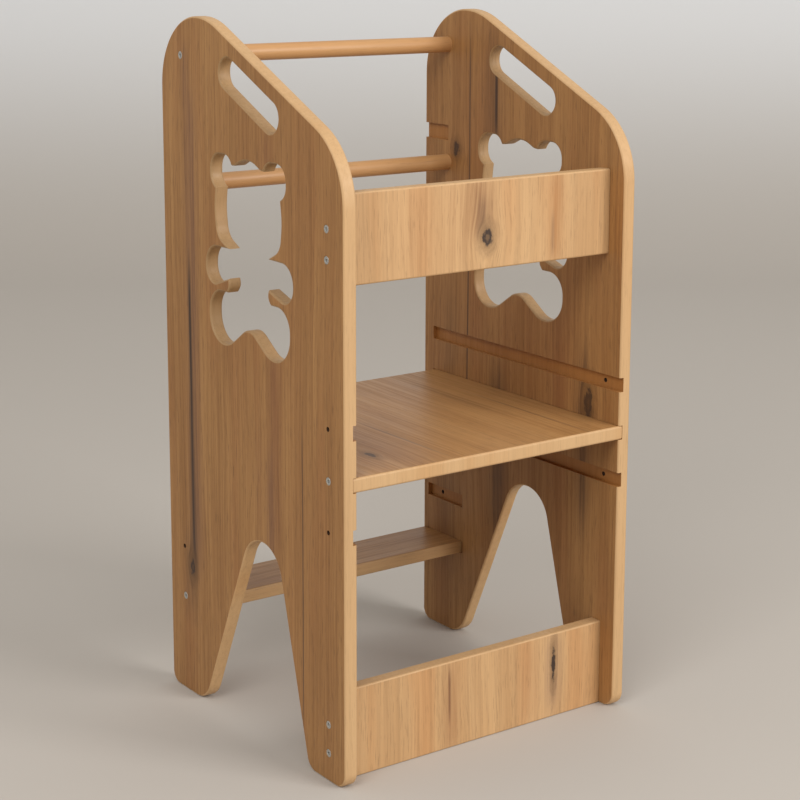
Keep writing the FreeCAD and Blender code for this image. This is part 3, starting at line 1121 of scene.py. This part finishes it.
class STOOL_OT_front_boards(bpy.types.Operator):
    """Upper and lower front boards between the panels"""

    bl_idname = "stool.front_boards"
    bl_label = "Make front boards"

    def execute(self, context):
        sizes, finish = settings(context)
        places = {"upper": (UPPER_LOW, UPPER_HIGH), "lower": (LOWER_LOW, LOWER_HIGH)}
        for name, marks in self.marks().items():
            low, high = places[name]
            board = eased_board(name + "_front_board_wood", low, high, sizes.board_round, sizes)
            face = wood(finish, name + "_board_face_wood", "XYZ", "board", contrast=0.75, **marks)
            edge = wood(finish, name + "_board_edge_wood", "XYZ", "edge", marks["seed"] + 1.0,
                        contrast=0.35)
            finish_board(board, Y, low, high, face, edge, "board_wood", name + "_front_board")
        return {"FINISHED"}

    def marks(self):
        """The knots, streaks and cracks of each board's faces."""
        dark = (0.16, 0.085, 0.045)
        return {
            "upper": {
                "seed": 31.0,
                "knots": [((6, 642), (7.2, 10), 1.0)],
                "streaks": [
                    (112, 14, 600, 715, 0.8, (0.4, 0.18, 0.06)),
                    (107, 2.8, 612, 660, 0.4, dark),
                    (-4, 19, 646, 715, 0.85, (0.28, 0.13, 0.05)),
                    (0, 9, 646, 690, 0.8, (0.18, 0.09, 0.042)),
                    (-40, 22, 600, 715, 0.35, (0.36, 0.17, 0.065)),
                    (-100, 30, 600, 715, 0.3, (0.4, 0.18, 0.065)),
                ],
            },
            "lower": {
                "seed": 37.0,
                "knots": [((122.5, 73), (3, 22), 1.0)],
                "streaks": [
                    (122, 12, 15, 112, 0.7, (0.19, 0.1, 0.075)),
                    (-46, 1.9, 40, 100, 0.95, (0.08, 0.035, 0.018)),
                    (-42, 11, 0, 112, 0.6, (0.33, 0.15, 0.06)),
                    (85, 16, 0, 110, 0.4, (0.4, 0.18, 0.07)),
                ],
            },
        }


class STOOL_OT_rails(bpy.types.Operator):
    """Round rails, seated in the panels' blind sockets"""

    bl_idname = "stool.rails"
    bl_label = "Make rails"

    def execute(self, context):
        sizes, finish = settings(context)
        rails = (("top_rail", TOP_RAIL_LOW, TOP_RAIL_HIGH, 41.0),
                 ("lower_rail", LOWER_RAIL_LOW, LOWER_RAIL_HIGH, 47.0))
        for node, low, high, seed in rails:
            middle = (low + high) / 2.0
            bm = bmesh.new()
            add_bar(bm, (high.z - low.z) / 2.0, low.x, high.x, middle.y, middle.z, RAIL_SIDES)
            rims = [e for e in bm.edges if abs(e.verts[0].co.x - e.verts[1].co.x) < SAME]
            round_edges(bm, rims, sizes.end_ease, RIM_STEPS)
            rail = add_object(node + "_wood", mesh_from(node + "_wood", bm))
            smooth_piece(rail)
            rail.data.materials.clear()
            rail.data.materials.append(wood(
                finish, node + "_turned_wood", "YZX", "rail", seed, contrast=0.35, roughness=0.42))
            finish_piece(rail, "rail_wood", node)
        return {"FINISHED"}


class STOOL_OT_screws(bpy.types.Operator):
    """Panel screws with hexagon sockets, one at each screw's place"""

    bl_idname = "stool.screws"
    bl_label = "Make screws"

    def execute(self, context):
        sizes, finish = settings(context)
        one = add_object("one_screw", self.screw_mesh(sizes))
        steel = screw_steel(tuple(finish.steel))
        places = []
        turns = []
        for node in SCREW_NODES:
            low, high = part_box(node)
            middle = (low + high) / 2.0
            on_right = middle.x > 0.0
            places.append((high.x if on_right else low.x, middle.y, middle.z))
            turns.append(0.0 if on_right else math.pi)
        mesh = bpy.data.meshes.new("panel_screws")
        mesh.from_pydata(places, [], [])
        mesh.attributes.new("turn", "FLOAT", "POINT").data.foreach_set("value", turns)
        screws = add_object("panel_screws", mesh)
        spread = screws.modifiers.new("screws", "NODES")
        spread.node_group = self.screw_tree()
        values = {"Screw": one, "Steel": steel, "Socket turn": SOCKET_TURN, "Seed": SOCKET_SEED}
        for item in spread.node_group.interface.items_tree:
            if item.item_type == "SOCKET" and item.in_out == "INPUT" and item.name in values:
                spread[item.identifier] = values[item.name]
        settle(screws)
        bpy.data.objects.remove(one)
        smooth_piece(screws, crease=30.0)
        finish_piece(screws, "screw_steel", *SCREW_NODES)
        return {"FINISHED"}

    def screw_mesh(self, sizes):
        """One screw along X with the top of its head at the origin, pointing into -X."""
        head = sizes.screw_head / 2.0
        flat = sizes.screw_socket / 2.0
        bm = bmesh.new()

        def ring(x, reach):
            made = []
            for index in range(SCREW_SIDES):
                angle = 2.0 * math.pi * index / SCREW_SIDES
                size = reach(angle)
                made.append(bm.verts.new((x, size * math.cos(angle), size * math.sin(angle))))
            return made

        def circle(radius):
            return lambda angle: radius

        def hexagon(share=1.0, wider=0.0):
            part = math.pi / 3.0
            return lambda angle: flat / math.cos((angle % part) - part / 2.0) * share + wider

        # The socket from its floor outwards, the dished top and rim of the head, and the neck
        rings = [ring(x * MM, reach) for x, reach in (
            (-2.6, circle(0.15 * MM)),
            (-2.2, hexagon(0.96)),
            (-0.35, hexagon()),
            (-0.12, hexagon(wider=0.25 * MM)),
            (-0.10, circle(head - 0.7 * MM)),
            (-0.20, circle(head - 0.25 * MM)),
            (-0.55, circle(head)),
            (-2.95, circle(head)),
            (-3.0, circle(THREAD_CREST)),
        )]
        start = -THREAD_START
        while start > -THREAD_END:
            rings.append(ring(start, circle(THREAD_CORE)))
            rings.append(ring(start - CREST_START, circle(THREAD_CREST)))
            rings.append(ring(start - CREST_END, circle(THREAD_CREST)))
            start -= THREAD_PITCH
        rings.append(ring(-TIP_START, circle(THREAD_CORE)))
        rings.append(ring(-TIP_END, circle(TIP_RADIUS)))
        for first, second in zip(rings, rings[1:]):
            for index in range(SCREW_SIDES):
                after = (index + 1) % SCREW_SIDES
                bm.faces.new((first[index], first[after], second[after], second[index]))
        bm.faces.new(rings[0])
        bm.faces.new(rings[-1])
        return mesh_from("one_screw", bm)

    def screw_tree(self):
        """Geometry nodes that set a screw on each point, turned to its side."""
        group = bpy.data.node_groups.new("set screws", "GeometryNodeTree")
        for name, kind in (("Geometry", "Geometry"), ("Screw", "Object"), ("Steel", "Material"),
                           ("Socket turn", "Float"), ("Seed", "Int")):
            group.interface.new_socket(name, in_out="INPUT", socket_type="NodeSocket" + kind)
        group.interface.new_socket("Geometry", in_out="OUTPUT", socket_type="NodeSocketGeometry")
        tree = Tree(group)
        given = tree.node("NodeGroupInput", {}).outputs
        points = tree.node("GeometryNodeMeshToPoints", {"Mesh": given["Geometry"]}).outputs[0]
        screw = tree.node("GeometryNodeObjectInfo", {"Object": given["Screw"]}).outputs["Geometry"]
        side = tree.node("GeometryNodeInputNamedAttribute", {"Name": "turn"}, data_type="FLOAT")
        loose = tree.node("FunctionNodeRandomValue", {"Seed": given["Seed"]}, data_type="FLOAT")
        for socket in loose.inputs:
            if (socket.name, socket.type) == ("Max", "VALUE"):
                tree.put(socket, given["Socket turn"])
        chosen = [socket for socket in loose.outputs if socket.type == "VALUE"]
        turns = {X: chosen[0], Z: side.outputs["Attribute"]}
        turn = tree.node("ShaderNodeCombineXYZ", turns).outputs[0]
        inputs = {"Points": points, "Instance": screw, "Rotation": turn}
        placed = tree.node("GeometryNodeInstanceOnPoints", inputs).outputs[0]
        real = tree.node("GeometryNodeRealizeInstances", {0: placed}).outputs[0]
        inputs = {"Geometry": real, "Material": given["Steel"]}
        coated = tree.node("GeometryNodeSetMaterial", inputs).outputs[0]
        tree.node("NodeGroupOutput", {0: coated})
        return group


class STOOL_OT_stage(bpy.types.Operator):
    """Plain floor and wall, soft lamps and the camera"""

    bl_idname = "stool.stage"
    bl_label = "Set the stage"

    def execute(self, context):
        scene = context.scene
        finish = scene.stool_finish
        view = scene.stool_view
        self.backdrop(tuple(finish.floor), tuple(finish.wall))
        self.camera(scene, view)
        self.lamp("key_lamp", view.key_power, KEY_SIZE, KEY_PLACE)
        self.lamp("side_lamp", view.fill_power, SIDE_SIZE, SIDE_PLACE)
        world = bpy.data.worlds.new("studio_room")
        world.use_nodes = True
        ground = world.node_tree.nodes["Background"]
        ground.inputs["Color"].default_value = WORLD_COLOUR
        ground.inputs["Strength"].default_value = view.world_strength
        scene.world = world
        scene.view_settings.view_transform = "Standard"
        return {"FINISHED"}

    def backdrop(self, colour, wall):
        """A floor that curves up into a wall behind the stool."""
        profile = [(BACKDROP_NEAR, 0.0), (BACKDROP_BEND, 0.0)]
        for step in range(1, BEND_STEPS + 1):
            angle = math.pi / 2.0 * step / BEND_STEPS
            profile.append((BACKDROP_BEND + BEND_RADIUS * math.sin(angle),
                            BEND_RADIUS - BEND_RADIUS * math.cos(angle)))
        profile.append((BACKDROP_BEND + BEND_RADIUS, BACKDROP_TOP))
        turned = Matrix.Rotation(BACKDROP_TURN, 3, "Z")
        bm = bmesh.new()
        rows = []
        for along, up in profile:
            rows.append([bm.verts.new(turned @ Vector((x, along, up)))
                         for x in (-BACKDROP_HALF_WIDTH, BACKDROP_HALF_WIDTH)])
        for first, second in zip(rows, rows[1:]):
            bm.faces.new((first[0], first[1], second[1], second[0]))
        mesh = mesh_from("studio_floor", bm)
        mesh.shade_smooth()
        mesh.materials.append(plain_studio("studio_paint", colour, wall))
        add_object("studio_floor", mesh)

    def camera(self, scene, view):
        """The camera at the angle and distance of the view."""
        data = bpy.data.cameras.new("view")
        data.sensor_fit = "HORIZONTAL"
        data.sensor_width = FRAME_WIDTH
        data.lens = view.lens
        data.shift_y = view.shift
        data.clip_end = FAR_CLIP
        camera = add_object("view", data)
        ahead = Vector((-math.sin(view.turn) * math.cos(view.tilt),
                        math.cos(view.turn) * math.cos(view.tilt), -math.sin(view.tilt)))
        right = ahead.cross(Vector((0.0, 0.0, 1.0))).normalized()
        up = right.cross(ahead)
        rolled_right = right * math.cos(view.roll) + up * math.sin(view.roll)
        rolled_up = up * math.cos(view.roll) - right * math.sin(view.roll)
        turn = Matrix((rolled_right, rolled_up, -ahead)).transposed()
        camera.matrix_world = Matrix.Translation(Vector(view.place)) @ turn.to_4x4()
        scene.camera = camera

    def lamp(self, name, power, size, place):
        """A square lamp that faces the stool."""
        data = bpy.data.lights.new(name, "AREA")
        data.energy = power
        data.size = size
        turn = (LAMP_AIM - place).to_track_quat("-Z", "Y").to_matrix().to_4x4()
        add_object(name, data).matrix_world = Matrix.Translation(place) @ turn


class STOOL_PT_sidebar(bpy.types.Panel):
    """Sizes, finishes and pieces of the stool"""

    bl_idname = "STOOL_PT_sidebar"
    bl_label = "Kitchen helper stool"
    bl_space_type = "VIEW_3D"
    bl_region_type = "UI"
    bl_category = "Stool"

    def draw(self, context):
        layout = self.layout
        scene = context.scene
        for group in (scene.stool_sizes, scene.stool_finish, scene.stool_view):
            column = layout.column(align=True)
            for key in group.__annotations__:
                column.prop(group, key)
        for operator in OPERATORS:
            layout.operator(operator.bl_idname)


SETTINGS = (StoolSizes, StoolFinish, StoolView)
OPERATORS = (
    STOOL_OT_side_panels,
    STOOL_OT_platform,
    STOOL_OT_footrest_step,
    STOOL_OT_front_boards,
    STOOL_OT_rails,
    STOOL_OT_screws,
    STOOL_OT_stage,
)


def register():
    """Make the settings, operators and panel known."""
    for item in SETTINGS + OPERATORS + (STOOL_PT_sidebar,):
        bpy.utils.register_class(item)
    bpy.types.Scene.stool_sizes = PointerProperty(type=StoolSizes)
    bpy.types.Scene.stool_finish = PointerProperty(type=StoolFinish)
    bpy.types.Scene.stool_view = PointerProperty(type=StoolView)


def unregister():
    """Take back what register made known."""
    del bpy.types.Scene.stool_view
    del bpy.types.Scene.stool_finish
    del bpy.types.Scene.stool_sizes
    for item in reversed(SETTINGS + OPERATORS + (STOOL_PT_sidebar,)):
        bpy.utils.unregister_class(item)


def main():
    """Make every piece and the stage."""
    register()
    bpy.ops.stool.side_panels()
    bpy.ops.stool.platform()
    bpy.ops.stool.footrest_step()
    bpy.ops.stool.front_boards()
    bpy.ops.stool.rails()
    bpy.ops.stool.screws()
    bpy.ops.stool.stage()


if __name__ == "__main__":
    main()
